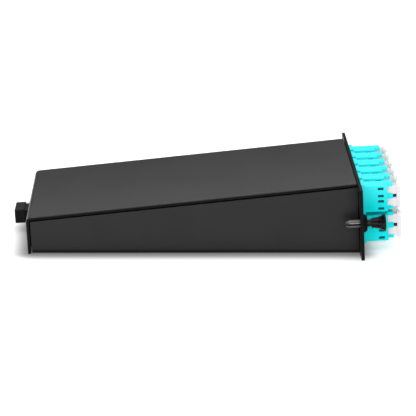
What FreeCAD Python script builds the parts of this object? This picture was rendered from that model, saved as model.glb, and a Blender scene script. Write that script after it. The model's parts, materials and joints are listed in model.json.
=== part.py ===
import FreeCAD, Part
import math
import os

# A slide-in fibre cassette for a rack panel: a wedge-shaped folded steel box whose front plate carries
# twelve LC duplex adapters in two rows of six, fed inside by one MPO connector in the back wall.
#
# Frame: the origin is midway between the two fasteners on the plate's rear face, which seats on the panel.
# +X points out of the front, +Y across the plate, +Z up. Columns are numbered from -Y to +Y.

# ---------------------------------------------------------------- driving sizes, mm and degrees

plate_thickness = 1.6
plate_corner_radius = 0.5
plate_end = 5.5                  # from a fastener's axis to the plate's end
plate_edge = 2.8                 # above and below the two rows
plate_middle = 0.45              # height of the plate's middle above the fasteners

body_length = 160.0
body_side_room = 5.1             # from the outer adapters to the box's sides
slope = 3.1                      # the cover falls and the floor rises by this much towards the back
sheet = 1.5
bend_inner_radius = 0.8
edge_bevel = 0.35                # of the cover's edges along both sides
floor_below_plate = 0.3          # the floor reaches this far below the plate's lower edge

cover_front_gap = 0.35           # cover's front edge to the plate
wall_rear_gap = 0.5              # tray's rear edge to the cover's back wall
wall_top_gap = 0.6               # seam between the tray's side walls and the cover
side_fit = 0.3                   # parts inside the box to its walls
slot_fit = 0.1                   # tabs in slots and adapters in their windows, each side
touch_gap = 0.05                 # soft parts that end at a face
past = 1.0                       # cutters run this far past a face
bite = 0.15                      # and what is fused on reaches this far into its wall
flats = 8                        # of a tiny round such as a ferrule

tab_height = 8.0                 # tray tabs welded into the plate
tab_spacing = 18.0

columns = 6
rows = 2
column_gap = 3.5                 # between the flanges of neighbouring adapters
row_gap = 0.1
rows_above_middle = 0.5          # middle of the two rows above the plate's middle

adapter_width = 9.3              # along Y
adapter_height = 12.9            # along Z
adapter_behind_plate = 10.0
adapter_front = 14.7             # front face of the full-width body
flange_thickness = 2.4
flange_overhang_y = 0.25
flange_overhang_z = 0.85
nose_length = 3.0
nose_recess = 4.0                # the nose stands this far back from the latch side
port_pitch = 6.25
port_size = 4.7
port_wall = 0.3                  # between the ports and the adapter's +Y side
latch_slot = 3.5
latch_depth = 3.1
latch_reach = 9.6                # of the latch channel from either end of the body
window_length = 2.8
window_height = 1.25
window_spread = 3.6              # between the two windows of one port
window_setback = 1.8             # behind the body's front face
window_depth = 2.4               # through the wall into the latch channel
web_length = 7.0                 # middle web that holds the sleeves
wedge_length = 3.0               # snap wedges behind the plate
wedge_rise = 0.8
wedge_height = 4.0

sleeve_wall = 0.165
sleeve_length = 6.6
sleeve_slit = 0.2
ferrule_radius = 0.625
ferrule_fit = 0.02               # ferrule in sleeve
sleeve_fit = 0.05                # sleeve in the web's bore

cap_fit = 0.12                   # cap plugs in the ports, each side
cap_plug_reach = 9.0             # length inside the port, from the nose
cap_neck_length = 1.8
cap_web_width = 1.7              # between the two necks, thinner than they are
cap_bar_thickness = 1.9
cap_bar_height = 13.4
cap_bar_width = 4.9

lc_fit = 0.1                     # square body of an LC plug in the port, each side
lc_body_behind = 11.0            # of it behind the adapter
lc_boot_length = 12.0
lc_boot_end = 1.8
lc_boot_root = 3.6
lc_latch_width = 2.8
lc_latch_rise = 2.4
lc_latch_thickness = 1.0
lc_latch_setback = 2.0           # the latch's root behind the plug's front
lc_latch_lip = 4.0               # and its press pad behind the adapter
tail_width = 0.9
tail_pitch = 1.3                 # in the fan-out block

fastener_outside = 6.5           # from the box's side to a fastener's axis
leg_radius = 2.1                 # behind the plate, in the rack panel's hole
shank_step = 0.25                # the shank in the plate is this much wider than the legs
leg_length = 6.9
leg_taper = 2.3
leg_tip_wall = 0.15
leg_round = 0.25                 # how far the taper's middle stays inside the leg's radius
leg_slit = 0.9
leg_bore = 1.15
collar_radius = 4.4
collar_front_radius = 3.7
collar_length = 1.9
neck_fit = 0.1                   # plunger neck in the collar
plunger_travel = 2.0             # from rest until it is pushed home
neck_radius = 1.8
neck_gap = 2.2                   # free length of the neck at rest
knob_length = 7.0
knob_back_radius = 2.5
knob_front_radius = 4.45
knob_rim = 0.7
knob_crown_radius = 2.7
knob_flare = 2.6                 # power by which the knob widens towards its rim
knob_steps = 4
flutes = 8
flute_depth = 0.55
flute_width = 1.2
flute_runout = 1.2               # flutes end this far behind the knob's front
pin_fit = 0.15                   # in the bore between the legs
pin_length = 6.2
pin_bevel = 0.3

mpo_width = 12.6                 # opening for the connector
mpo_height = 5.8
mpo_below_middle = 0.65          # its middle below the plate's middle
mpo_wall = 1.3
mpo_length = 23.0
mpo_fit = 0.1
mpo_flange_end = 2.5             # from a screw's axis to the flange's end
mpo_flange_overhang = 0.6        # above and below the walls
mpo_flange_thickness = 2.0
mpo_screw_room = 1.9             # from a wall to a screw's axis
mpo_insertion = 10.0             # of the connector and of the cap
mpo_housing_length = 12.0
mpo_housing_over = 0.9           # the housing stands out over the opening by this much
mpo_housing_corner = 0.8
mpo_boot_length = 8.0
mpo_boot_wall = 0.8
mpo_cap_plug = 8.0
mpo_cap_neck = 3.0
mpo_cap_grip = 5.0
mpo_cap_over_y = 0.7             # the grip stands out over the opening by this much
mpo_cap_over_z = 0.65
mpo_cap_corner = 0.6
mpo_cap_bevel = 0.4
mpo_cap_grooves = 4
mpo_groove_depth = 0.4
mpo_groove_height = 0.65
mpo_groove_end = 1.0             # grooves start and stop this far from the grip's ends

trunk_width = 3.0
cord_facets = 3                  # in each of a cord's two arcs
trunk_drop_length = 22.0
fanout_length = 14.0
fanout_width = 9.6
fanout_height = 6.4
fanout_corner = 1.2

screw_radius = 1.5               # M3 countersunk, holding the cover from below
screw_head_radius = 2.75
screw_length = 5.2
screw_fit = 0.2
thread_fit = 0.03
socket_radius = 1.0
socket_depth = 0.9
nut_radius = 3.0
nut_height = 1.5
small_screw_radius = 1.0         # M2 countersunk, holding the MPO adapter
small_screw_head_radius = 1.9
small_screw_length = 4.0
small_socket_radius = 0.65

foot_width = 14.0                # rear feet of the cover
foot_length = 14.0
foot_spacing = 60.0
foot_relief = 1.0
bracket_position = 57.0          # behind the plate
bracket_length = 14.0
bracket_flange = 12.0

# ---------------------------------------------------------------- derived sizes

rise = math.tan(math.radians(slope))
upright = 1.0 / math.cos(math.radians(slope))      # a sloping sheet's height over its thickness
bend_outer_radius = bend_inner_radius + sheet

column_pitch = adapter_width + 2 * flange_overhang_y + column_gap
row_pitch = adapter_height + 2 * flange_overhang_z + row_gap
plate_height = rows * row_pitch + 2 * plate_edge
body_width = (columns - 1) * column_pitch + adapter_width + 2 * body_side_room
fastener_spacing = body_width + 2 * fastener_outside
plate_width = fastener_spacing + 2 * plate_end
cover_top_front = plate_middle + plate_height / 2
floor_bottom_front = plate_middle - plate_height / 2 - floor_below_plate
mpo_centre = plate_middle - mpo_below_middle
wall_outer = body_width / 2
wall_inner = wall_outer - sheet
back_outer = -body_length
back_inner = back_outer + sheet
tray_rear = back_inner + wall_rear_gap

adapter_rear = -adapter_behind_plate
flange_front = plate_thickness + flange_thickness
nose_tip = adapter_front + nose_length
port_offset = adapter_width / 2 - port_wall - port_size / 2     # the latches are towards -Y
web_centre = (nose_tip + adapter_rear) / 2
web_front = web_centre + web_length / 2
web_rear = web_centre - web_length / 2
sleeve_radius = ferrule_radius + ferrule_fit + sleeve_wall
lc_body = port_size - 2 * lc_fit

collar_front = plate_thickness + collar_length
knob_back = collar_front + neck_gap
collar_bore_bottom = collar_front - plunger_travel - neck_fit
shank_radius = leg_radius + shank_step
hole_radius = shank_radius + slot_fit
leg_tip_radius = leg_bore + leg_tip_wall
pin_radius = leg_bore - pin_fit

boot_end = -adapter_behind_plate - lc_body_behind - lc_boot_length
mpo_screw_spacing = mpo_width + 2 * (mpo_wall + mpo_screw_room)
mpo_flange_width = mpo_screw_spacing + 2 * mpo_flange_end
mpo_flange_height = mpo_height + 2 * (mpo_wall + mpo_flange_overhang)
mpo_housing_height = mpo_height + 2 * mpo_housing_over
mpo_cap_width = mpo_width + 2 * mpo_cap_over_y
mpo_cap_height = mpo_height + 2 * mpo_cap_over_z
mpo_inner_end = back_outer + mpo_length
mpo_plug_nose = mpo_inner_end - mpo_insertion
mpo_boot_end = mpo_inner_end + mpo_housing_length + mpo_boot_length
fanout_rear = mpo_boot_end + trunk_drop_length

X = FreeCAD.Vector(1, 0, 0)
Y = FreeCAD.Vector(0, 1, 0)
Z = FreeCAD.Vector(0, 0, 1)


# ---------------------------------------------------------------- small tools

def vec(x, y, z):
    return FreeCAD.Vector(x, y, z)


def block(x_low, x_high, y_low, y_high, z_low, z_high):
    """A box given by its limits."""
    return Part.makeBox(x_high - x_low, y_high - y_low, z_high - z_low, vec(x_low, y_low, z_low))


def bar(x_low, x_high, width, height, y_centre=0.0, z_centre=0.0):
    """A box along X, centred on a point of the YZ plane."""
    return block(x_low, x_high, y_centre - width / 2, y_centre + width / 2,
                 z_centre - height / 2, z_centre + height / 2)


def rod(x_low, x_high, radius, y_centre=0.0, z_centre=0.0):
    return Part.makeCylinder(radius, x_high - x_low, vec(x_low, y_centre, z_centre), X)


def profile(points, direction):
    """The prism of a closed outline, swept along a direction."""
    outline = [vec(*point) for point in points]
    return Part.Face(Part.makePolygon(outline + outline[:1])).extrude(direction)


def turned(points):
    """A solid of revolution about the X axis, from (x, radius) points."""
    outline = [vec(x, radius, 0) for x, radius in points]
    face = Part.Face(Part.makePolygon(outline + outline[:1]))
    return face.revolve(vec(0, 0, 0), X, 360)


def rounded(solid, radius, wanted):
    """Rounds the edges whose middle point is wanted."""
    edges = [edge for edge in solid.Edges if wanted(edge.CenterOfMass, edge)]
    return solid.makeFillet(radius, edges)


def bevelled(solid, size, wanted):
    """Takes the corner off the edges whose middle point is wanted."""
    edges = [edge for edge in solid.Edges if wanted(edge.CenterOfMass, edge)]
    return solid.makeChamfer(size, edges)


def same(first, second):
    return abs(first - second) < 0.01


def runs_along(edge, axis):
    line = edge.Vertexes[-1].Point - edge.Vertexes[0].Point
    return line.Length > 1e-6 and abs(line.normalize().dot(axis)) > 0.99


def cover_top(x):
    return cover_top_front + x * rise


def cover_under(x):
    return cover_top(x) - sheet * upright


def floor_under(x):
    return floor_bottom_front - x * rise


def floor_top(x):
    return floor_under(x) + sheet * upright


def on_floor(shape, x, y):
    """Sets a shape, built with its foot at the origin and +Z up, square on the floor."""
    placed = shape.copy()
    seat = FreeCAD.Placement(vec(x, y, floor_top(x)), FreeCAD.Rotation(Y, slope))
    placed.Placement = seat.multiply(placed.Placement)
    return placed


def s_bend(start, end, width):
    """A flat-sided cord that leaves and arrives along X, as two equal tangent arcs in short facets."""
    across = vec(0, end.y - start.y, end.z - start.z)
    length = end.x - start.x
    arc_radius = (length ** 2 + across.Length ** 2) / (4 * across.Length)
    turn = 2 * math.atan(across.Length / length)
    side = vec(across.x, across.y, across.z).normalize()
    axis = X.cross(side)
    near_edge = []
    far_edge = []
    for step in range(cord_facets + 1):
        angle = turn * step / cord_facets
        ahead = X * math.sin(angle)
        back = side * math.cos(angle)
        near_edge.append(start + side * arc_radius + (ahead - back) * (arc_radius + width / 2))
        far_edge.append(start + side * arc_radius + (ahead - back) * (arc_radius - width / 2))
    for step in range(cord_facets - 1, -1, -1):
        angle = turn * step / cord_facets
        ahead = X * math.sin(angle)
        back = side * math.cos(angle)
        near_edge.append(end - side * arc_radius + (back - ahead) * (arc_radius - width / 2))
        far_edge.append(end - side * arc_radius + (back - ahead) * (arc_radius + width / 2))
    outline = [point - axis * (width / 2) for point in near_edge + far_edge[::-1]]
    return Part.Face(Part.makePolygon(outline + outline[:1])).extrude(axis * width)


def ring(x, radius, angles):
    """Points of a circle about the X axis, at angles in degrees from +Z."""
    return [(x, radius * math.sin(math.radians(a)), radius * math.cos(math.radians(a))) for a in angles]


def corner_angles():
    return [360 * step / flats for step in range(flats)]


def around(radius):
    """Radius of the corners of a tiny round whose flats stand at the given radius."""
    return radius / math.cos(math.pi / flats)


def tiny_round(x_low, x_high, corner_radius):
    """A prism along the X axis for a tiny round pin or bore."""
    return profile(ring(x_low, corner_radius, corner_angles()), X * (x_high - x_low))


def hexagon(radius, z_low, z_high):
    corners = [(radius * math.cos(math.radians(a)), radius * math.sin(math.radians(a)), z_low)
               for a in range(0, 360, 60)]
    return profile(corners, Z * (z_high - z_low))


def column_y(column):
    return (column - (columns - 1) / 2) * column_pitch


def row_z(row):
    return plate_middle + rows_above_middle + ((rows - 1) / 2 - row) * row_pitch


def port_heights():
    return (port_pitch / 2, -port_pitch / 2)


# ---------------------------------------------------------------- fasteners

def countersunk_screw(radius, head_radius, length, key_radius):
    """Head up at the origin, shank down -Z, with a hexagon socket."""
    head_height = head_radius - radius
    head = Part.makeCone(radius, head_radius, head_height, vec(0, 0, -head_height))
    shank = Part.makeCylinder(radius, length - head_height, vec(0, 0, -length))
    socket = hexagon(key_radius, -socket_depth, 0)
    return head.fuse(shank).removeSplitter().cut(socket)


def countersink(radius, head_radius, depth):
    """The hole for such a screw, with its mouth at the origin and running down -Z."""
    cone_height = head_radius - radius
    cone = Part.makeCone(radius, head_radius, cone_height, vec(0, 0, -cone_height))
    return cone.fuse(Part.makeCylinder(radius, depth, vec(0, 0, -depth)))


def cover_screw_places():
    """Where the four cover screws come up through the floor, as (x, y)."""
    rear_x = back_inner + foot_length / 2 + bend_inner_radius
    front_y = wall_inner - side_fit - bracket_flange / 2 - sheet / 2
    places = [(rear_x, side * foot_spacing / 2) for side in (-1, 1)]
    return places + [(-bracket_position, side * front_y) for side in (-1, 1)]


def screw_at(shape, x, y):
    """Turns a head-up shape over and sets its head flush with the floor's underside."""
    flipped = shape.copy()
    flipped.rotate(vec(0, 0, 0), X, 180)
    flipped.translate(vec(0, 0, -sheet))
    return on_floor(flipped, x, y)


def cover_screws():
    screw = countersunk_screw(screw_radius, screw_head_radius, screw_length, socket_radius)
    return Part.makeCompound([screw_at(screw, x, y) for x, y in cover_screw_places()])


def clinch_nuts():
    """Hexagon nuts pressed into the feet and brackets, one over each cover screw."""
    nut = hexagon(nut_radius, sheet, sheet + nut_height)
    nut = nut.cut(Part.makeCylinder(screw_radius + thread_fit, nut_height, vec(0, 0, sheet)))
    return Part.makeCompound([on_floor(nut, x, y) for x, y in cover_screw_places()])


def clearance_holes():
    """Plain holes through the feet that lie on the floor."""
    hole = Part.makeCylinder(screw_radius + thread_fit, 3 * sheet, vec(0, 0, -sheet))
    return Part.makeCompound([on_floor(hole, x, y) for x, y in cover_screw_places()])


# ---------------------------------------------------------------- sheet metal

def tray():
    """Floor and two side walls folded from one sheet, with four tabs for the front plate."""
    tall = 2 * plate_height
    outer = block(-body_length, tall, -wall_outer, wall_outer, 0, tall)
    inner = block(-body_length, tall, -wall_inner, wall_inner, sheet, tall)
    low_edges = lambda centre, edge: runs_along(edge, X) and centre.z < 2 * sheet
    outer = rounded(outer, bend_outer_radius, low_edges)
    inner = rounded(inner, bend_inner_radius, low_edges)
    channel = outer.cut(inner)
    channel.Placement = FreeCAD.Placement(vec(0, 0, floor_bottom_front), FreeCAD.Rotation(Y, slope))
    side_view = profile([(0, -wall_outer, cover_under(0) - wall_top_gap),
                         (tray_rear, -wall_outer, cover_under(tray_rear) - wall_top_gap),
                         (tray_rear, -wall_outer, floor_under(tray_rear) - sheet),
                         (0, -wall_outer, floor_bottom_front - sheet)], Y * body_width)
    folded = channel.common(side_view)
    for side in (-1, 1):
        for z in (-tab_spacing / 2, tab_spacing / 2):
            y_centre = side * (wall_outer - sheet / 2)
            folded = folded.fuse(bar(0, plate_thickness, sheet, tab_height, y_centre, plate_middle + z))
    hole = countersink(screw_radius + screw_fit, screw_head_radius + screw_fit, 2 * sheet)
    for x, y in cover_screw_places():
        folded = folded.cut(screw_at(hole, x, y))
    return folded.removeSplitter()


def cover_foot(y_centre):
    """A foot that the back wall bends forward over the floor."""
    end = back_inner + foot_length
    near = y_centre - foot_width / 2
    foot = profile([(back_outer, near, mpo_centre),
                    (back_outer, near, floor_top(back_outer)),
                    (end, near, floor_top(end)),
                    (end, near, floor_top(end) + sheet * upright),
                    (back_inner, near, floor_top(back_inner) + sheet * upright),
                    (back_inner, near, mpo_centre)], Y * foot_width)
    low_edge = lambda centre, edge, x: (runs_along(edge, Y) and same(centre.x, x)
                                        and centre.z < mpo_centre - sheet)
    foot = rounded(foot, bend_outer_radius, lambda centre, edge: low_edge(centre, edge, back_outer))
    return rounded(foot, bend_inner_radius, lambda centre, edge: low_edge(centre, edge, back_inner))


def mpo_window():
    width = mpo_width + 2 * (mpo_wall + slot_fit)
    height = mpo_height + 2 * (mpo_wall + slot_fit)
    return bar(back_outer - past, back_inner + past, width, height, 0, mpo_centre)


def mpo_screw_places():
    return [side * mpo_screw_spacing / 2 for side in (-1, 1)]


def facing_back(shape, x, y):
    """Turns a head-up shape so that its head faces the back."""
    turned_shape = shape.copy()
    turned_shape.rotate(vec(0, 0, 0), Y, -90)
    turned_shape.translate(vec(x, y, mpo_centre))
    return turned_shape


def cover():
    """Top and back wall folded from one sheet, with eased side edges and two rear feet."""
    front = -cover_front_gap
    folded = profile([(front, -wall_outer, cover_top(front)),
                      (back_outer, -wall_outer, cover_top(back_outer)),
                      (back_outer, -wall_outer, floor_under(back_outer)),
                      (back_inner, -wall_outer, floor_under(back_outer)),
                      (back_inner, -wall_outer, cover_under(back_inner)),
                      (front, -wall_outer, cover_under(front))], Y * body_width)
    top_edge = lambda centre, edge, x: (runs_along(edge, Y) and same(centre.x, x)
                                        and centre.z > mpo_centre)
    folded = rounded(folded, bend_outer_radius, lambda centre, edge: top_edge(centre, edge, back_outer))
    folded = rounded(folded, bend_inner_radius, lambda centre, edge: top_edge(centre, edge, back_inner))
    folded = bevelled(folded, edge_bevel, lambda centre, edge: edge.Length > body_length / 2
                      and same(abs(centre.y), wall_outer))
    relief_top = floor_top(back_inner) + bend_outer_radius + foot_relief
    for side in (-1, 1):
        y_centre = side * foot_spacing / 2
        half = foot_width / 2 + foot_relief
        folded = folded.cut(block(back_outer - past, back_inner + past, y_centre - half, y_centre + half,
                                  floor_under(back_outer) - past, relief_top))
        folded = folded.fuse(cover_foot(y_centre))
    folded = folded.cut(mpo_window()).cut(clearance_holes())
    hole = countersink(small_screw_radius + screw_fit / 2, small_screw_head_radius + screw_fit / 2,
                       2 * sheet)
    for y in mpo_screw_places():
        folded = folded.cut(facing_back(hole, back_outer, y))
    return folded.removeSplitter()


def cover_bracket(side):
    """A channel bracket, welded under the cover and screwed to the floor near the front."""
    rear = -bracket_position - bracket_length / 2
    front = -bracket_position + bracket_length / 2
    outer = side * (wall_inner - side_fit)
    web_face = outer - side * sheet
    flange_end = outer - side * bracket_flange
    thickness = sheet * upright

    def strip(y, width, rear_low, front_low, rear_high, front_high):
        return profile([(rear, y, rear_low), (front, y, front_low), (front, y, front_high),
                        (rear, y, rear_high)], Y * width)

    solid = strip(flange_end, outer - flange_end, floor_top(rear), floor_top(front),
                  cover_under(rear), cover_under(front))
    solid = rounded(solid, bend_outer_radius,
                    lambda centre, edge: runs_along(edge, X) and same(centre.y, outer))
    hollow = strip(flange_end, web_face - flange_end, floor_top(rear) + thickness,
                   floor_top(front) + thickness, cover_under(rear) - thickness,
                   cover_under(front) - thickness)
    hollow = rounded(hollow, bend_inner_radius,
                     lambda centre, edge: runs_along(edge, X) and same(centre.y, web_face))
    return solid.cut(hollow).cut(clearance_holes())


def front_plate():
    """Flat plate with a window for each adapter, two fastener holes and slots for the tray's tabs."""
    plate = bar(0, plate_thickness, plate_width, plate_height, 0, plate_middle)
    plate = rounded(plate, plate_corner_radius, lambda centre, edge: runs_along(edge, X))
    low = -past
    high = plate_thickness + past
    for row in range(rows):
        for column in range(columns):
            plate = plate.cut(bar(low, high, adapter_width + 2 * slot_fit, adapter_height + 2 * slot_fit,
                                  column_y(column), row_z(row)))
    for side in (-1, 1):
        plate = plate.cut(rod(low, high, hole_radius, side * fastener_spacing / 2))
        for z in (-tab_spacing / 2, tab_spacing / 2):
            plate = plate.cut(bar(low, high, sheet + 2 * slot_fit, tab_height + 2 * slot_fit,
                                  side * (wall_outer - sheet / 2), plate_middle + z))
    return plate


# ---------------------------------------------------------------- push-pull fasteners

def grommet(side):
    """Split nylon grommet: slit legs behind the plate, shank in it and conical collar in front."""
    body = turned([(-leg_length, leg_bore),
                   (-leg_length, leg_tip_radius),
                   (-leg_length + leg_taper / 2, leg_radius - leg_round),
                   (-leg_length + leg_taper, leg_radius),
                   (0, leg_radius),
                   (0, shank_radius),
                   (plate_thickness, shank_radius),
                   (plate_thickness, collar_radius),
                   (plate_thickness + collar_length / 3, collar_radius),
                   (collar_front, collar_front_radius),
                   (collar_front, neck_radius + neck_fit),
                   (collar_bore_bottom, neck_radius + neck_fit),
                   (collar_bore_bottom, leg_bore)])
    slit = block(-leg_length - past, 0, -leg_radius - past, leg_radius + past,
                 -leg_slit / 2, leg_slit / 2)
    body = body.cut(slit)
    body.translate(vec(0, side * fastener_spacing / 2, 0))
    return body


def knob_flank():
    """Concave flare from the knob's shoulder to its rim, as (x, radius)."""
    points = []
    for step in range(knob_steps + 1):
        along = step / knob_steps
        swell = (knob_front_radius - knob_back_radius) * along ** knob_flare
        points.append((knob_back + along * (knob_length - knob_rim), knob_back_radius + swell))
    return points


def plunger(side):
    """Fluted knob, neck and spreading pin of a push-pull fastener."""
    neck_back = collar_front - neck_fit
    pin_tip = neck_back - pin_length
    front = knob_back + knob_length
    body = turned([(pin_tip, 0),
                   (pin_tip, pin_radius - pin_bevel),
                   (pin_tip + 2 * pin_bevel, pin_radius),
                   (neck_back, pin_radius),
                   (neck_back, neck_radius),
                   (knob_back, neck_radius)]
                  + knob_flank()
                  + [(front - knob_rim / 2, knob_front_radius),
                     (front, knob_crown_radius),
                     (front, 0)])
    groove = profile([(knob_back - past, 0, knob_back_radius - flute_depth),
                      (knob_back - past, -flute_width / 2, knob_back_radius + flute_width / 2),
                      (knob_back - past, flute_width / 2, knob_back_radius + flute_width / 2)],
                     X * (knob_length - flute_runout + past))
    for flute in range(flutes):
        cutter = groove.copy()
        cutter.rotate(vec(0, 0, 0), X, 360 * (flute + 0.5) / flutes)
        body = body.cut(cutter)
    body.translate(vec(0, side * fastener_spacing / 2, 0))
    return body


# ---------------------------------------------------------------- LC side

def adapter_shell():
    """The outside of an adapter: body, flange, set-back nose and two snap wedges."""
    side = adapter_width / 2
    body = bar(adapter_rear, adapter_front, adapter_width, adapter_height)
    flange = bar(plate_thickness, flange_front, adapter_width + 2 * flange_overhang_y,
                 adapter_height + 2 * flange_overhang_z)
    nose = block(adapter_front - bite, nose_tip, nose_recess - side, side,
                 -adapter_height / 2, adapter_height / 2)
    shell = body.fuse(flange).fuse(nose)
    for sense in (-1, 1):
        root = sense * (side - bite)
        tip = sense * (side + wedge_rise)
        low = -wedge_height / 2
        shell = shell.fuse(profile([(-wedge_length, root, low), (-touch_gap, root, low),
                                    (-touch_gap, tip, low)], Z * wedge_height))
    return shell.removeSplitter()


def port_cutters(z):
    """What one port takes out of the shell: both plug cavities, the sleeve's bore and latch channels."""
    latch_face = port_offset - port_size / 2
    channel = (latch_face - latch_depth, latch_face + bite, z - latch_slot / 2, z + latch_slot / 2)
    return [bar(web_front, nose_tip + past, port_size, port_size, port_offset, z),
            bar(adapter_rear - past, web_rear, port_size, port_size, port_offset, z),
            tiny_round(web_rear - past, web_front + past, around(sleeve_radius + sleeve_fit))
            .translated(vec(0, port_offset, z)),
            block(adapter_front - latch_reach, nose_tip + past, *channel),
            block(adapter_rear - past, adapter_rear + latch_reach, *channel)]


def latch_windows(z):
    """The pair of windows over one port, in the side where the latches run."""
    front = adapter_front - window_setback
    side = -adapter_width / 2
    return [block(front - window_length, front, side - past, side + window_depth,
                  z + spread - window_height / 2, z + spread + window_height / 2)
            for spread in (-window_spread / 2, window_spread / 2)]


def adapter():
    """One LC duplex adapter about the origin: shell with ports, latch channels and windows."""
    shell = adapter_shell()
    for z in port_heights():
        for cutter in port_cutters(z) + latch_windows(z):
            shell = shell.cut(cutter)
    return shell.removeSplitter()


def split_sleeve():
    """Ceramic sleeve about the X axis, slit along its length."""
    half_slit = math.degrees(sleeve_slit / 2 / sleeve_radius)
    angles = [half_slit] + corner_angles()[1:] + [360 - half_slit]
    rear = web_centre - sleeve_length / 2
    outside = ring(rear, sleeve_radius, angles)
    inside = ring(rear, around(ferrule_radius + ferrule_fit), reversed(angles))
    return profile(outside + inside, X * sleeve_length)


def dust_cap():
    """Duplex dust cap about the adapter's axis: two plugs, a thin web and a pill-shaped bar."""
    plug = port_size - 2 * cap_fit
    bar_back = nose_tip + cap_neck_length
    bar_front = bar_back + cap_bar_thickness
    straight = cap_bar_height - cap_bar_width
    cap = bar(bar_back, bar_front, cap_bar_width, straight, port_offset)
    for end in (-1, 1):
        cap = cap.fuse(rod(bar_back, bar_front, cap_bar_width / 2, port_offset, end * straight / 2))
    cap = cap.fuse(bar(nose_tip + touch_gap, bar_back, cap_web_width, port_pitch, port_offset))
    for z in port_heights():
        cap = cap.fuse(bar(nose_tip - cap_plug_reach, bar_back, plug, plug, port_offset, z))
    return cap.removeSplitter()


def square(x, size):
    """A square wire about the X axis."""
    half = size / 2
    corners = [vec(x, -half, -half), vec(x, half, -half), vec(x, half, half), vec(x, -half, half)]
    return Part.makePolygon(corners + corners[:1])


def lc_plug():
    """LC plug in the back of an adapter, about its ferrule's axis: body, latch, boot and ferrule."""
    front = web_rear - touch_gap
    rear = adapter_rear - lc_body_behind
    body = bar(rear, front, lc_body, lc_body)
    ferrule = tiny_round(front - bite, web_centre - touch_gap, ferrule_radius)
    face = -lc_body / 2
    root = front - lc_latch_setback
    lip = adapter_rear - lc_latch_lip
    side = -lc_latch_width / 2
    latch = profile([(root, face + bite, side),
                     (root, face - lc_latch_thickness / 2, side),
                     (lip, face - lc_latch_rise, side),
                     (lip - lc_latch_thickness, face - lc_latch_rise, side),
                     (lip - lc_latch_thickness, face - lc_latch_rise + lc_latch_thickness, side),
                     (root - 2 * lc_latch_setback, face + bite, side)], Z * lc_latch_width)
    boot = Part.makeLoft([square(boot_end, lc_boot_end), square(rear, lc_boot_root)], True)
    return body.fuse(ferrule).fuse(latch).fuse(boot).removeSplitter()


# ---------------------------------------------------------------- MPO side

def mpo_adapter():
    """Square tube flush with the back wall outside, with a flange screwed against it inside."""
    outer_width = mpo_width + 2 * mpo_wall
    outer_height = mpo_height + 2 * mpo_wall
    shell = bar(back_outer, mpo_inner_end, outer_width, outer_height, 0, mpo_centre)
    shell = shell.fuse(bar(back_inner, back_inner + mpo_flange_thickness, mpo_flange_width,
                           mpo_flange_height, 0, mpo_centre)).removeSplitter()
    shell = shell.cut(bar(back_outer - past, mpo_inner_end + past, mpo_width, mpo_height, 0, mpo_centre))
    for y in mpo_screw_places():
        shell = shell.cut(rod(back_outer, mpo_inner_end, small_screw_radius + thread_fit, y, mpo_centre))
    return shell


def mpo_screws():
    screw = countersunk_screw(small_screw_radius, small_screw_head_radius, small_screw_length,
                              small_socket_radius)
    return Part.makeCompound([facing_back(screw, back_outer, y) for y in mpo_screw_places()])


def mpo_connector():
    """Twenty-four fibre connector inside the box: nose, housing and tapering boot."""
    nose = bar(mpo_plug_nose, mpo_inner_end + touch_gap, mpo_width - 2 * mpo_fit,
               mpo_height - 2 * mpo_fit, 0, mpo_centre)
    housing = bar(mpo_inner_end + touch_gap, mpo_inner_end + mpo_housing_length, mpo_width,
                  mpo_housing_height, 0, mpo_centre)
    housing = rounded(housing, mpo_housing_corner, lambda centre, edge: runs_along(edge, X))
    boot_start = mpo_inner_end + mpo_housing_length
    boot = Part.makeCone(mpo_housing_height / 2, trunk_width / 2 + mpo_boot_wall, mpo_boot_length,
                         vec(boot_start, 0, mpo_centre), X)
    return nose.fuse(housing).fuse(boot).removeSplitter()


def mpo_dust_cap():
    """Black cap in the back of the MPO adapter: plug, neck and a grip with grooved ends."""
    grip_front = back_outer - mpo_cap_neck
    grip_back = grip_front - mpo_cap_grip
    plug = bar(grip_front, back_outer + mpo_cap_plug, mpo_width - 2 * mpo_fit,
               mpo_height - 2 * mpo_fit, 0, mpo_centre)
    grip = bar(grip_back, grip_front, mpo_cap_width, mpo_cap_height, 0, mpo_centre)
    grip = rounded(grip, mpo_cap_corner, lambda centre, edge: runs_along(edge, Z)
                   and same(centre.x, grip_back))
    grip = bevelled(grip, mpo_cap_bevel, lambda centre, edge: not same(centre.x, grip_front)
                    and same(abs(centre.z - mpo_centre), mpo_cap_height / 2))
    for groove in range(mpo_cap_grooves):
        z = mpo_centre + (groove - (mpo_cap_grooves - 1) / 2) * mpo_cap_height / (mpo_cap_grooves + 1)
        for side in (-1, 1):
            grip = grip.cut(bar(grip_back + mpo_groove_end, grip_front - mpo_groove_end,
                                2 * mpo_groove_depth, mpo_groove_height, side * mpo_cap_width / 2, z))
    return plug.fuse(grip).removeSplitter()


# ---------------------------------------------------------------- fibre routing

def fanout_block():
    """Block glued to the floor where the trunk divides into single tails."""
    block_shape = bar(0, fanout_length, fanout_width, fanout_height, 0, fanout_height / 2)
    block_shape = rounded(block_shape, fanout_corner, lambda centre, edge: runs_along(edge, X)
                          and centre.z > fanout_height / 2)
    return on_floor(block_shape, fanout_rear, 0)


def fanout_point(along, across, up):
    """A point of the fan-out block, from the middle of its foot at the rear."""
    placement = FreeCAD.Placement(vec(fanout_rear, 0, floor_top(fanout_rear)), FreeCAD.Rotation(Y, slope))
    return placement.multVec(vec(along, across, up))


def trunk_tube():
    """Short tube with all the fibres, from the MPO connector down to the fan-out block."""
    start = vec(mpo_boot_end, 0, mpo_centre)
    return s_bend(start, fanout_point(-2 * touch_gap, 0, fanout_height / 2), trunk_width)


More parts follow.
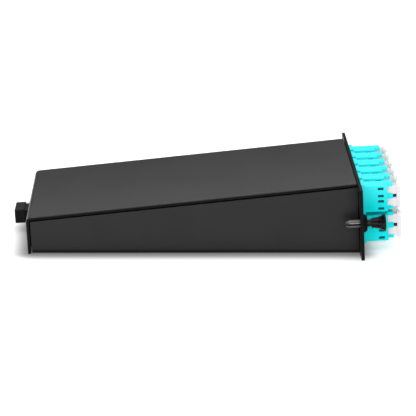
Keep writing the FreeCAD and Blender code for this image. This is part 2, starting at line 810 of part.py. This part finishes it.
def fibre_tails():
    """One tail from the fan-out block to each LC plug's boot."""
    tails = []
    for column in range(columns):
        for level in range(2 * rows):
            row = level // 2
            port = port_heights()[level % 2]
            across = (column - (columns - 1) / 2) * tail_pitch
            up = fanout_height / 2 + ((2 * rows - 1) / 2 - level) * tail_pitch
            start = fanout_point(fanout_length + touch_gap, across, up)
            end = vec(boot_end - touch_gap, column_y(column) + port_offset, row_z(row) + port)
            tails.append(s_bend(start, end, tail_width))
    return Part.makeCompound(tails)


# ---------------------------------------------------------------- assembly

def repeated_nodes():
    """The parts that stand once at every adapter place."""
    nodes = {}
    one_adapter = adapter()
    one_cap = dust_cap()
    one_plug = lc_plug()
    for row in range(rows):
        for column in range(columns):
            place = f"{('top', 'bottom')[row]}_{column + 1}"
            centre = vec(0, column_y(column), row_z(row))
            plugs = [one_plug.translated(centre + vec(0, port_offset, z)) for z in port_heights()]
            nodes[f"lc_adapter_{place}"] = one_adapter.translated(centre)
            nodes[f"dust_cap_{place}"] = one_cap.translated(centre)
            nodes[f"lc_plug_pair_{place}"] = Part.makeCompound(plugs)
    return nodes


def split_sleeves():
    sleeve = split_sleeve()
    return Part.makeCompound([sleeve.translated(vec(0, column_y(column) + port_offset, row_z(row) + z))
                              for row in range(rows) for column in range(columns)
                              for z in port_heights()])


def all_nodes():
    nodes = {
        "tray": tray(),
        "cover": cover(),
        "front_plate": front_plate(),
        "cover_bracket_near": cover_bracket(-1),
        "cover_bracket_far": cover_bracket(1),
        "cover_screws": cover_screws(),
        "clinch_nuts": clinch_nuts(),
        "grommet_near": grommet(-1),
        "grommet_far": grommet(1),
        "plunger_near": plunger(-1),
        "plunger_far": plunger(1),
        "split_sleeves": split_sleeves(),
        "mpo_adapter": mpo_adapter(),
        "mpo_screws": mpo_screws(),
        "mpo_connector": mpo_connector(),
        "mpo_dust_cap": mpo_dust_cap(),
        "trunk_tube": trunk_tube(),
        "fanout_block": fanout_block(),
        "fibre_tails": fibre_tails(),
    }
    nodes.update(repeated_nodes())
    return nodes


os.makedirs("parts", exist_ok=True)
for name, shape in all_nodes().items():
    shape.exportStep(f"parts/{name}.step")
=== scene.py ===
import json
import math

import bmesh
import bpy
from mathutils import Matrix, Vector


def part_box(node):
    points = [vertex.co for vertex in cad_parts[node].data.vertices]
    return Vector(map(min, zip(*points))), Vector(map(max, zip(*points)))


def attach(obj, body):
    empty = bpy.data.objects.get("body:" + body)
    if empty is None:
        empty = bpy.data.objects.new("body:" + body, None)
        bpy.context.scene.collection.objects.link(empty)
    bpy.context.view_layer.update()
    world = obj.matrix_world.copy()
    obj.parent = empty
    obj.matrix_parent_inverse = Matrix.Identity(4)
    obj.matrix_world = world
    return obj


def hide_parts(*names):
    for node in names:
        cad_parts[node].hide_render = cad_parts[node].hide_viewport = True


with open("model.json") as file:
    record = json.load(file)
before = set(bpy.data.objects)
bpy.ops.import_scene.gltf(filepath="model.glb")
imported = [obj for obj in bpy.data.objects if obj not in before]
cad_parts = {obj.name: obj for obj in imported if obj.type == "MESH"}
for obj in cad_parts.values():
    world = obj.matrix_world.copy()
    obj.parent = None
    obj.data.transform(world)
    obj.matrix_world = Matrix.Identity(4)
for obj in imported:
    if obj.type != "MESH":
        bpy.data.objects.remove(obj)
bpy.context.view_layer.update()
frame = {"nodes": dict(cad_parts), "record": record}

mm = 0.001

# ---------------------------------------------------------------- viewpoint
# A long lens looks down on the cassette from its near side, so that the plate is
# seen almost edge on and the adapters stand out to the right.

camera_target = Vector((-0.071921, 0.0, -0.003019))
camera_distance = 1.11666
camera_elevation = math.radians(16.537)
camera_yaw = math.radians(0.303)
camera_roll = math.radians(2.906)

ahead = Vector((math.sin(camera_yaw) * math.cos(camera_elevation),
                math.cos(camera_yaw) * math.cos(camera_elevation),
                -math.sin(camera_elevation)))
level_right = Vector((math.cos(camera_yaw), -math.sin(camera_yaw), 0.0))
level_up = level_right.cross(ahead)
camera_right = level_right * math.cos(camera_roll) - level_up * math.sin(camera_roll)
camera_up = level_right * math.sin(camera_roll) + level_up * math.cos(camera_roll)

camera_data = bpy.data.cameras.new("camera")
camera_data.sensor_width = 36.0
camera_data.lens = 193.1
camera_data.clip_start = 0.01
camera_data.clip_end = 50.0
camera = bpy.data.objects.new("camera", camera_data)
turn = Matrix((camera_right, camera_up, -ahead)).transposed().to_4x4()
camera.matrix_world = Matrix.Translation(camera_target - ahead * camera_distance) @ turn
bpy.context.scene.collection.objects.link(camera)
bpy.context.scene.camera = camera

# ---------------------------------------------------------------- table and studio light
# The cassette rests on its sloping underside, so the white table slopes against the
# object's own axes. The soft shade round the body is painted on the table, which also
# gives off some light. Soft boxes hang above, in front and behind.


class Wire:
    """One output of a material's nodes; arithmetic on it adds Math nodes."""

    def __init__(self, finish, socket):
        self.finish = finish
        self.socket = socket

    def combined(self, operation, first, second):
        return self.finish.node("ShaderNodeMath", {"operation": operation},
                                {0: first, 1: second})[0]

    def __add__(self, other):
        return self.combined("ADD", self, other)

    def __radd__(self, other):
        return self.combined("ADD", other, self)

    def __mul__(self, other):
        return self.combined("MULTIPLY", self, other)

    def __rmul__(self, other):
        return self.combined("MULTIPLY", other, self)


class Finish:
    """A material under construction, with one method for every kind of node."""

    def __init__(self, name, **shader_values):
        self.material = bpy.data.materials.new(name)
        self.material.use_nodes = True
        self.tree = self.material.node_tree
        self.shader = self.tree.nodes["Principled BSDF"]
        for socket, value in shader_values.items():
            self.shader.inputs[socket.replace("_", " ")].default_value = value

    def node(self, kind, settings=None, sockets=None):
        made = self.tree.nodes.new(kind)
        for name, value in (settings or {}).items():
            setattr(made, name, value)
        for name, value in (sockets or {}).items():
            if isinstance(value, Wire):
                self.tree.links.new(value.socket, made.inputs[name])
            else:
                made.inputs[name].default_value = value
        return [Wire(self, output) for output in made.outputs]

    def feed(self, socket, wire):
        self.tree.links.new(wire.socket, self.shader.inputs[socket])

    def place(self):
        return self.node("ShaderNodeTexCoord")[3]

    def place_along(self, axis):
        return self.node("ShaderNodeSeparateXYZ", {}, {0: self.place()})["XYZ".index(axis)]

    def grain(self, grain_size, detail=2.0, roughness=0.5):
        """Noise whose blotches are about grain_size metres across."""
        return self.node("ShaderNodeTexNoise", {},
                         {"Vector": self.place(), "Scale": 1.0 / grain_size,
                          "Detail": detail, "Roughness": roughness})[0]

    def colour_between(self, amount, first, second):
        mixed = self.node("ShaderNodeMix", {"data_type": "RGBA"},
                          {0: amount, 6: (*first, 1.0), 7: (*second, 1.0)})
        self.feed("Base Color", mixed[2])

    def bump(self, height, depth, strength=1.0):
        self.feed("Normal", self.node("ShaderNodeBump", {},
                                      {"Height": height, "Distance": depth,
                                       "Strength": strength})[0])


floor_slope = math.radians(3.1)
floor_height = -17.35 * mm
floor_reach = 6.0
corners = [(x, y, floor_height - x * math.tan(floor_slope))
           for x, y in ((-floor_reach, -floor_reach), (floor_reach, -floor_reach),
                        (floor_reach, floor_reach), (-floor_reach, floor_reach))]
floor_mesh = bpy.data.meshes.new("table")
floor_mesh.from_pydata(corners, [], [(0, 1, 2, 3)])
floor = bpy.data.objects.new("table", floor_mesh)
bpy.context.scene.collection.objects.link(floor)
footprint_middle = (-80.0 * mm, 0.0, 0.0)
footprint_half = (78.0 * mm, 42.0 * mm, 10.0)
shade_width = 15.0 * mm
shade_tone = 0.16
table_tone = 0.62
white_table = Finish("white table", Roughness=0.9, Specular_IOR_Level=0.1, Emission_Strength=0.8)
from_middle = white_table.node("ShaderNodeVectorMath", {"operation": "SUBTRACT"},
                               {0: white_table.place(), 1: footprint_middle})[0]
either_side = white_table.node("ShaderNodeVectorMath", {"operation": "ABSOLUTE"},
                               {0: from_middle})[0]
past_edge = white_table.node("ShaderNodeVectorMath", {"operation": "SUBTRACT"},
                             {0: either_side, 1: footprint_half})[0]
outside = white_table.node("ShaderNodeVectorMath", {"operation": "MAXIMUM"},
                           {0: past_edge, 1: (0.0, 0.0, 0.0)})[0]
distance = white_table.node("ShaderNodeVectorMath", {"operation": "LENGTH"}, {0: outside})[1]
open_table = white_table.node("ShaderNodeMapRange", {"interpolation_type": "SMOOTHERSTEP"},
                              {"Value": distance, "From Max": shade_width})[0]
tone = white_table.node("ShaderNodeMix", {"data_type": "RGBA"},
                        {0: open_table, 6: (shade_tone, shade_tone, shade_tone, 1.0),
                         7: (table_tone, table_tone, table_tone, 1.0)})[2]
white_table.feed("Base Color", tone)
white_table.feed("Emission Color", tone)
floor_mesh.materials.append(white_table.material)

world = bpy.data.worlds.new("studio")
world.use_nodes = True
sky = world.node_tree.nodes["Background"]
upward = world.node_tree.nodes.new("ShaderNodeSeparateXYZ")
direction = world.node_tree.nodes.new("ShaderNodeTexCoord")
fade = world.node_tree.nodes.new("ShaderNodeMapRange")
fade.interpolation_type = "SMOOTHSTEP"
for socket, value in (("From Min", 0.25), ("From Max", 0.85),
                      ("To Min", 0.035), ("To Max", 1.15)):
    fade.inputs[socket].default_value = value
world.node_tree.links.new(direction.outputs["Generated"], upward.inputs[0])
world.node_tree.links.new(upward.outputs["Z"], fade.inputs["Value"])
world.node_tree.links.new(fade.outputs["Result"], sky.inputs["Strength"])
sky.inputs["Color"].default_value = (1.0, 1.0, 1.0, 1.0)
bpy.context.scene.world = world
bpy.context.scene.view_settings.view_transform = "Standard"


def soft_light(name, place, width, height, power, aim=camera_target):
    """A softbox that faces a point of the cassette."""
    data = bpy.data.lights.new(name, "AREA")
    data.shape = "RECTANGLE"
    data.size = width
    data.size_y = height
    data.energy = power
    light = bpy.data.objects.new(name, data)
    light.location = place
    light.rotation_euler = (Vector(aim) - Vector(place)).to_track_quat("-Z", "Y").to_euler()
    bpy.context.scene.collection.objects.link(light)
    return light


soft_light("overhead softbox", (0.05, 0.1, 1.3), 1.4, 1.4, 8.0)
soft_light("front softbox", (0.0, -1.5, 0.40), 1.4, 0.6, 15.6)
soft_light("rear softbox", (-0.05, 0.26, 0.24), 0.9, 0.2, 0.9)

# ---------------------------------------------------------------- black powder coat
# The folded sheets and the front plate are powder coated: a deep black film with a
# fine orange peel and a soft, slightly uneven sheen.

powder_coat = Finish("black powder coat", IOR=1.5, Specular_IOR_Level=0.23)
cloud = powder_coat.grain(18 * mm)
peel = powder_coat.grain(0.45 * mm, detail=3.0)
powder_coat.colour_between(cloud, (0.006, 0.006, 0.0062), (0.010, 0.010, 0.0103))
powder_coat.feed("Roughness", 0.30 + cloud * 0.06 + peel * 0.05)
powder_coat.bump(peel, 0.03 * mm, 0.3)

# ---------------------------------------------------------------- folded sheets and front plate
# Cover, tray and plate are cut from sheet steel, and the coating rounds their cut
# edges a little, so that they catch the light.


def eased_copy(node, name, width, finish, segments=2, sharp=35.0,
               shade=None, shaded=None, rim=None):
    """Copies a CAD node and rounds its sharp edges.

    The faces that shaded() picks and the rounded rims may have a finish of their own.
    """
    mesh = frame["nodes"][node].data.copy()
    mesh.name = name
    mesh.materials.clear()
    shape = bmesh.new()
    shape.from_mesh(mesh)
    bmesh.ops.remove_doubles(shape, verts=shape.verts, dist=0.0005 * mm)
    bmesh.ops.dissolve_limit(shape, angle_limit=math.radians(0.6),
                             verts=shape.verts, edges=shape.edges)
    for face in shape.faces:
        face.smooth = True
        face.material_index = 1 if shaded and shaded(face.calc_center_median()) else 0
    shape.to_mesh(mesh)
    shape.free()
    mesh.materials.append(finish.material)
    if shade:
        mesh.materials.append(shade.material)
    if rim:
        mesh.materials.append(rim.material)
    piece = bpy.data.objects.new(name, mesh)
    bpy.context.scene.collection.objects.link(piece)
    bevel = piece.modifiers.new("eased edges", "BEVEL")
    bevel.width = width
    bevel.segments = segments
    bevel.limit_method = "ANGLE"
    bevel.angle_limit = math.radians(sharp)
    bevel.miter_outer = "MITER_ARC"
    bevel.material = len(mesh.materials) - 1 if rim else -1
    even = piece.modifiers.new("even shading", "WEIGHTED_NORMAL")
    even.weight = 100
    return piece


def settle(piece, slot, body, *nodes):
    """Hides the CAD nodes a finished piece stands for and hangs the piece on its body; slot is not
    used.
    """
    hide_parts(*nodes)
    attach(piece, body)


box_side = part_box("tray")[1].y
# The cover's side edges and the plate's rim take a darker, duller copy of the powder coat: painted
# shade.
edge_shade_coat = Finish("powder coat darkened as painted shade on the edges", IOR=1.3, Specular_IOR_Level=0.1)
film = edge_shade_coat.grain(4 * mm)
edge_shade_coat.colour_between(film, (0.003, 0.003, 0.003), (0.006, 0.006, 0.0062))
edge_shade_coat.feed("Roughness", 0.45 + film * 0.1)


plate_low, plate_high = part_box("front_plate")


def on_a_cut_edge(point):
    return abs(point.y) > box_side - 0.05 * mm


def on_the_plate_rim(point):
    inside = min(plate_high.y - abs(point.y), plate_high.z - point.z, point.z - plate_low.z)
    return inside < 0.05 * mm


for node, name, width, edges in (("cover", "cover_sheet", 0.1 * mm, on_a_cut_edge),
                                 ("tray", "tray_sheet", 0.2 * mm, None),
                                 ("front_plate", "plate_sheet", 0.25 * mm, on_the_plate_rim)):
    settle(eased_copy(node, name, width, powder_coat, shade=edge_shade_coat, shaded=edges), "black_paint",
           "cassette", node)

# ---------------------------------------------------------------- seam shade strips
# A dark strip behind each long seam between the tray's walls and the cover stands for the shade in
# the seam: painted shade.
# The strips are only looks: they close the view through the seam to the cords inside.

seam_shade = Finish("dark seam strip as painted shade", IOR=1.4, Specular_IOR_Level=0.05)
seam_shade_grain = seam_shade.grain(0.4 * mm, detail=4.0)
seam_shade.colour_between(seam_shade_grain, (0.002, 0.002, 0.002), (0.005, 0.005, 0.005))
seam_shade.feed("Roughness", 0.85 + seam_shade_grain * 0.1)
seam_shade.bump(seam_shade_grain, 0.05 * mm, 0.6)
tray_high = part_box("tray")[1]
sheet_thickness = 1.5 * mm
wall_inside = tray_high.y - sheet_thickness
cover_slope = math.tan(floor_slope)
strip_rear = -156 * mm
strip_length = 155.5 * mm
strip_spans = 12
strip_below_wall_top = 2.0 * mm
strip_above_wall_top = 0.45 * mm
strip_outer = wall_inside - 0.05 * mm
strip_inner = wall_inside - 0.25 * mm
for side, name in ((-1, "near_seam_shade_strip"), (1, "far_seam_shade_strip")):
    strip = bmesh.new()
    outline = []
    for step in range(strip_spans + 1):
        x = strip_rear + step * strip_length / strip_spans
        under = tray_high.z + x * cover_slope
        outline.append((x, under - strip_below_wall_top, under + strip_above_wall_top))
    for y in (strip_outer, strip_inner):
        for x, low, high in outline:
            strip.verts.new((x, side * y, low))
            strip.verts.new((x, side * y, high))
    strip.verts.ensure_lookup_table()
    count = 2 * len(outline)
    for step in range(0, count - 2, 2):
        a, b, c, d = (strip.verts[step + k] for k in (0, 1, 3, 2))
        e, f, g, h = (strip.verts[count + step + k] for k in (0, 1, 3, 2))
        for corners in ((a, b, c, d), (e, f, g, h), (a, d, h, e), (b, c, g, f)):
            strip.faces.new(corners)
    for step in (0, count - 2):
        strip.faces.new([strip.verts[step], strip.verts[step + 1], strip.verts[count + step + 1],
                         strip.verts[count + step]])
    bmesh.ops.recalc_face_normals(strip, faces=strip.faces)
    mesh = bpy.data.meshes.new(name)
    strip.to_mesh(mesh)
    strip.free()
    mesh.materials.append(seam_shade.material)
    shade_strip_piece = bpy.data.objects.new(name, mesh)
    bpy.context.scene.collection.objects.link(shade_strip_piece)
    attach(shade_strip_piece, "cassette")

# ---------------------------------------------------------------- LC duplex adapters
# Aqua moulded shells with a flange, a set-back nose and four latch windows on the
# near side. They snap into the plate from the front, two rows of six.

adapter_low, adapter_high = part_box("lc_adapter_bottom_1")
next_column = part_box("lc_adapter_bottom_2")[0]
next_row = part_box("lc_adapter_top_1")[0]
column_pitch = next_column[1] - adapter_low[1]
row_pitch = next_row[2] - adapter_low[2]
flange_overhang = 0.25 * mm
window_wall = 1.2 * mm
window_middle = 11.5 * mm
window_spread = 1.8 * mm
port_offset = 3.125 * mm
shade_plate_half_length = 1.5 * mm
shade_plate_half_height = 0.72 * mm
shade_plate_half_thickness = 0.1 * mm

aqua = Finish("aqua moulding", IOR=1.4, Specular_IOR_Level=0.1)
flow = aqua.grain(6 * mm)
# The aqua turns lighter higher up on the adapters: a painted highlight, mixed with some random
# tone.
painted_top_light = aqua.node("ShaderNodeMapRange", {},
                            {"Value": aqua.place_along("Z"),
                             "From Min": 5 * mm, "From Max": 14 * mm})[0]
aqua.colour_between(painted_top_light * 0.85 + flow * 0.15, (0.0, 0.63, 0.65), (0.035, 0.74, 0.79))
aqua.feed("Roughness", 0.36 + flow * 0.08)
aqua.bump(aqua.grain(0.3 * mm), 0.01 * mm, 0.2)

# The latch windows are closed by dark teal plates in this finish: painted shade.
window_shade = Finish("painted shade inside the latch windows", IOR=1.5, Specular_IOR_Level=0.1,
                      Roughness=0.6)
window_shade.colour_between(window_shade.grain(2 * mm), (0.0, 0.070, 0.085), (0.0, 0.090, 0.105))


def rows_and_columns(name, finishes):
    """A Geometry Nodes tree that repeats the mesh it is given over a grid in the YZ plane."""
    tree = bpy.data.node_groups.new(name, "GeometryNodeTree")
    tree.interface.new_socket("Part", in_out="INPUT", socket_type="NodeSocketGeometry")
    sizes = {}
    for label, kind, value in (("Columns", "NodeSocketInt", 6), ("Rows", "NodeSocketInt", 2),
                               ("Column pitch", "NodeSocketFloat", column_pitch),
                               ("Row pitch", "NodeSocketFloat", row_pitch)):
        socket = tree.interface.new_socket(label, in_out="INPUT", socket_type=kind)
        socket.default_value = value
        sizes[label] = socket.identifier
    tree.interface.new_socket("Parts", in_out="OUTPUT", socket_type="NodeSocketGeometry")
    given = tree.nodes.new("NodeGroupInput")
    result = tree.nodes.new("NodeGroupOutput")

    def line(count, pitch, axis):
        steps = tree.nodes.new("GeometryNodeMeshLine")
        offset = tree.nodes.new("ShaderNodeCombineXYZ")
        tree.links.new(given.outputs[count], steps.inputs["Count"])
        tree.links.new(given.outputs[pitch], offset.inputs[axis])
        tree.links.new(offset.outputs[0], steps.inputs["Offset"])
        return steps.outputs[0]

    def on_points(points, unit):
        placed = tree.nodes.new("GeometryNodeInstanceOnPoints")
        tree.links.new(points, placed.inputs["Points"])
        tree.links.new(unit, placed.inputs["Instance"])
        return placed.outputs[0]

    row = on_points(line("Columns", "Column pitch", "Y"), given.outputs["Part"])
    grid = on_points(line("Rows", "Row pitch", "Z"), row)
    real = tree.nodes.new("GeometryNodeRealizeInstances")
    tree.links.new(grid, real.inputs[0])
    last = real.outputs[0]
    for index, finish in enumerate(finishes):
        paint = tree.nodes.new("GeometryNodeSetMaterial")
        paint.inputs["Material"].default_value = finish.material
        slot_index = tree.nodes.new("GeometryNodeInputMaterialIndex")
        match = tree.nodes.new("FunctionNodeCompare")
        match.data_type = "INT"
        match.operation = "EQUAL"
        match.inputs["B"].default_value = index
        tree.links.new(slot_index.outputs[0], match.inputs["A"])
        tree.links.new(last, paint.inputs["Geometry"])
        tree.links.new(match.outputs[0], paint.inputs["Selection"])
        last = paint.outputs[0]
    tree.links.new(last, result.inputs[0])
    return tree, sizes


def grown(piece, tree, inputs):
    """Runs a Geometry Nodes tree on a piece and keeps the plain mesh that comes out."""
    modifier = piece.modifiers.new("pattern", "NODES")
    modifier.node_group = tree
    for identifier, value in inputs.items():
        modifier[identifier] = value
    evaluated = piece.evaluated_get(bpy.context.evaluated_depsgraph_get())
    mesh = bpy.data.meshes.new_from_object(evaluated)
    for other in list(piece.modifiers):
        piece.modifiers.remove(other)
    mesh.name = piece.name
    piece.data = mesh
    return piece


def set_window_shade_plates(piece):
    """Sets a small dark plate behind each latch window of the first adapter: painted shade where
    the latch channel lies in shadow.
    """
    mesh = piece.data
    shape = bmesh.new()
    shape.from_mesh(mesh)
    wall = adapter_low[1] + flange_overhang + window_wall
    middle_z = (adapter_low[2] + adapter_high[2]) / 2
    for port in (-port_offset, port_offset):
        for spread in (-window_spread, window_spread):
            z = middle_z + port + spread
            corners = [shape.verts.new((window_middle + i * shade_plate_half_length,
                                        wall + j * shade_plate_half_thickness,
                                        z + k * shade_plate_half_height))
                       for i in (-1, 1) for j in (-1, 1) for k in (-1, 1)]
            for face in ((0, 1, 3, 2), (4, 6, 7, 5), (0, 4, 5, 1),
                         (2, 3, 7, 6), (0, 2, 6, 4), (1, 5, 7, 3)):
                shape.faces.new([corners[corner] for corner in face]).material_index = 1
    shape.to_mesh(mesh)
    shape.free()


adapter_tree, adapter_sizes = rows_and_columns("adapters in rows and columns", (aqua, window_shade))
adapters = eased_copy("lc_adapter_bottom_1", "duplex_adapters", 0.1 * mm, aqua, shade=window_shade)
set_window_shade_plates(adapters)
grown(adapters, adapter_tree, {adapter_sizes["Columns"]: 6, adapter_sizes["Rows"]: 2,
                               adapter_sizes["Column pitch"]: column_pitch,
                               adapter_sizes["Row pitch"]: row_pitch})
places = [f"{row}_{column}" for row in ("top", "bottom") for column in range(1, 7)]
settle(adapters, "aqua_plastic", "cassette", *[f"lc_adapter_{place}" for place in places])

# ---------------------------------------------------------------- dust caps
# Milky duplex caps, one in each adapter: two plugs, and a pill-shaped bar to pull
# them by. Between the two necks a thin web leaves a pocket, painted dark as shade.

cap_bar_thickness = 1.9 * mm
bar_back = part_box("dust_cap_bottom_1")[1].x - cap_bar_thickness
pocket_half_height = 0.7 * mm
pocket_half_width = 1.0 * mm

milky = Finish("milky cap", IOR=1.45, Roughness=0.22, Specular_IOR_Level=0.4)
haze = milky.grain(3 * mm)
milky.colour_between(haze, (0.64, 0.595, 0.615), (0.70, 0.66, 0.675))
milky.bump(milky.grain(1.2 * mm), 0.02 * mm, 0.2)
# The rounded rims of each cap take a darker grey: painted shade.
cap_rim_shade = Finish("painted shade on the milky cap's rims", IOR=1.45, Roughness=0.2)
cap_rim_shade.colour_between(cap_rim_shade.grain(3 * mm), (0.36, 0.32, 0.34), (0.44, 0.40, 0.42))
# The web's faces between the necks take a near-black finish: painted shade.
pocket_shade = Finish("painted shade between the cap's necks", IOR=1.45, Roughness=0.5)
pocket_shade.colour_between(pocket_shade.grain(1 * mm), (0.003, 0.002, 0.004), (0.006, 0.004, 0.008))

for place in places:
    low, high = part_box(f"dust_cap_{place}")
    middle = (low + high) / 2

    def in_the_pocket(point):
        return (point.x < bar_back - 0.05 * mm
                and abs(point.z - middle.z) < pocket_half_height
                and abs(point.y - middle.y) < pocket_half_width)

    cap = eased_copy(f"dust_cap_{place}", f"cap_{place}", 0.4 * mm, milky, 3,
                     shade=pocket_shade, shaded=in_the_pocket, rim=cap_rim_shade)
    settle(cap, "clear_cap", f"dust_cap_{place}", f"dust_cap_{place}")

# ---------------------------------------------------------------- push-pull fasteners
# Glossy black nylon: a split grommet whose collar bears on the plate, and a fluted
# knob that pushes a pin between its legs.

nylon = Finish("black nylon", IOR=1.5, Specular_IOR_Level=0.13)
skin = nylon.grain(3 * mm)
nylon.colour_between(skin, (0.003, 0.003, 0.003), (0.006, 0.006, 0.006))
nylon.feed("Roughness", 0.07 + skin * 0.06)
matt = Finish("matt black nylon", IOR=1.2, Specular_IOR_Level=0.1)
matt.colour_between(matt.grain(3 * mm), (0.003, 0.003, 0.003), (0.005, 0.005, 0.005))
matt.feed("Roughness", 0.55 + matt.grain(1 * mm) * 0.1)
# The grommet legs behind the plate take a lighter, glossier copy of the nylon: a painted highlight.
nylon_painted_sheen = Finish("black nylon lightened as painted sheen", IOR=1.5, Specular_IOR_Level=1.0)
sheen_grain = nylon_painted_sheen.grain(3 * mm)
nylon_painted_sheen.colour_between(sheen_grain, (0.020, 0.020, 0.020), (0.030, 0.030, 0.030))
nylon_painted_sheen.feed("Roughness", 0.24 + sheen_grain * 0.08)


def in_front_of_the_plate(point):
    return point.x > 0.1 * mm


for end in ("near", "far"):
    settle(eased_copy(f"grommet_{end}", f"split_grommet_{end}", 0.12 * mm, nylon_painted_sheen, shade=matt,
                      shaded=in_front_of_the_plate),
           "black_nylon", "cassette", f"grommet_{end}")
    settle(eased_copy(f"plunger_{end}", f"knob_{end}", 0.12 * mm, nylon),
           "black_nylon", f"plunger_{end}", f"plunger_{end}")

# ---------------------------------------------------------------- rear connector cap
# The black moulded cap on the connector port in the back wall. It plugs into the
# adapter, and grooves along its narrow sides give the fingers a grip.

soft_black = Finish("black cap plastic", IOR=1.45, Specular_IOR_Level=0.07)
soft_black.colour_between(soft_black.grain(3 * mm), (0.006, 0.006, 0.007), (0.010, 0.010, 0.011))
soft_black.feed("Roughness", 0.34 + soft_black.grain(1 * mm) * 0.1)
settle(eased_copy("mpo_dust_cap", "rear_cap", 0.15 * mm, soft_black),
       "black_plastic", "mpo_dust_cap", "mpo_dust_cap")
settle(eased_copy("mpo_adapter", "rear_adapter", 0.1 * mm, soft_black),
       "black_plastic", "cassette", "mpo_adapter")

# ---------------------------------------------------------------- screws and clinch nuts
# Zinc-plated steel, with the faint cloudiness of the plating. The screws come up
# through the floor into clinch nuts; two more hold the connector's adapter.

zinc = Finish("zinc plate", Metallic=1.0)
bloom = zinc.grain(1.5 * mm, detail=3.0)
zinc.colour_between(bloom, (0.50, 0.51, 0.52), (0.62, 0.63, 0.64))
zinc.feed("Roughness", 0.28 + bloom * 0.18)

# ---------------------------------------------------------------- plugs and fibre inside
# Beige LC plugs, the adapters' zirconia sleeves, and aqua cords back to the connector.
# These pieces keep the CAD meshes and take their finish here.

beige = Finish("beige plug moulding", IOR=1.5)
tint = beige.grain(3 * mm)
beige.colour_between(tint, (0.58, 0.49, 0.33), (0.64, 0.55, 0.38))
beige.feed("Roughness", 0.35 + tint * 0.1)
ceramic = Finish("white zirconia", IOR=2.1)
glaze = ceramic.grain(1 * mm)
ceramic.colour_between(glaze, (0.80, 0.80, 0.74), (0.86, 0.86, 0.81))
ceramic.feed("Roughness", 0.12 + glaze * 0.08)
jacket = Finish("aqua cord jacket", IOR=1.45)
weave = jacket.grain(0.6 * mm)
jacket.colour_between(weave, (0.004, 0.33, 0.38), (0.006, 0.40, 0.45))
jacket.feed("Roughness", 0.55 + weave * 0.1)
jacket.bump(weave, 0.02 * mm, 0.3)

finishes = {"aqua_plastic": aqua, "black_plastic": soft_black,
            "black_paint": powder_coat, "zinc_steel": zinc,
            "beige_plastic": beige, "white_ceramic": ceramic,
            "aqua_cord": jacket, "clear_cap": milky, "black_nylon": nylon}
for entry in frame["record"]["subparts"]:
    cad = frame["nodes"][entry["node"]]
    cad.data.materials.clear()
    cad.data.materials.append(finishes[entry["material_slot"]].material)
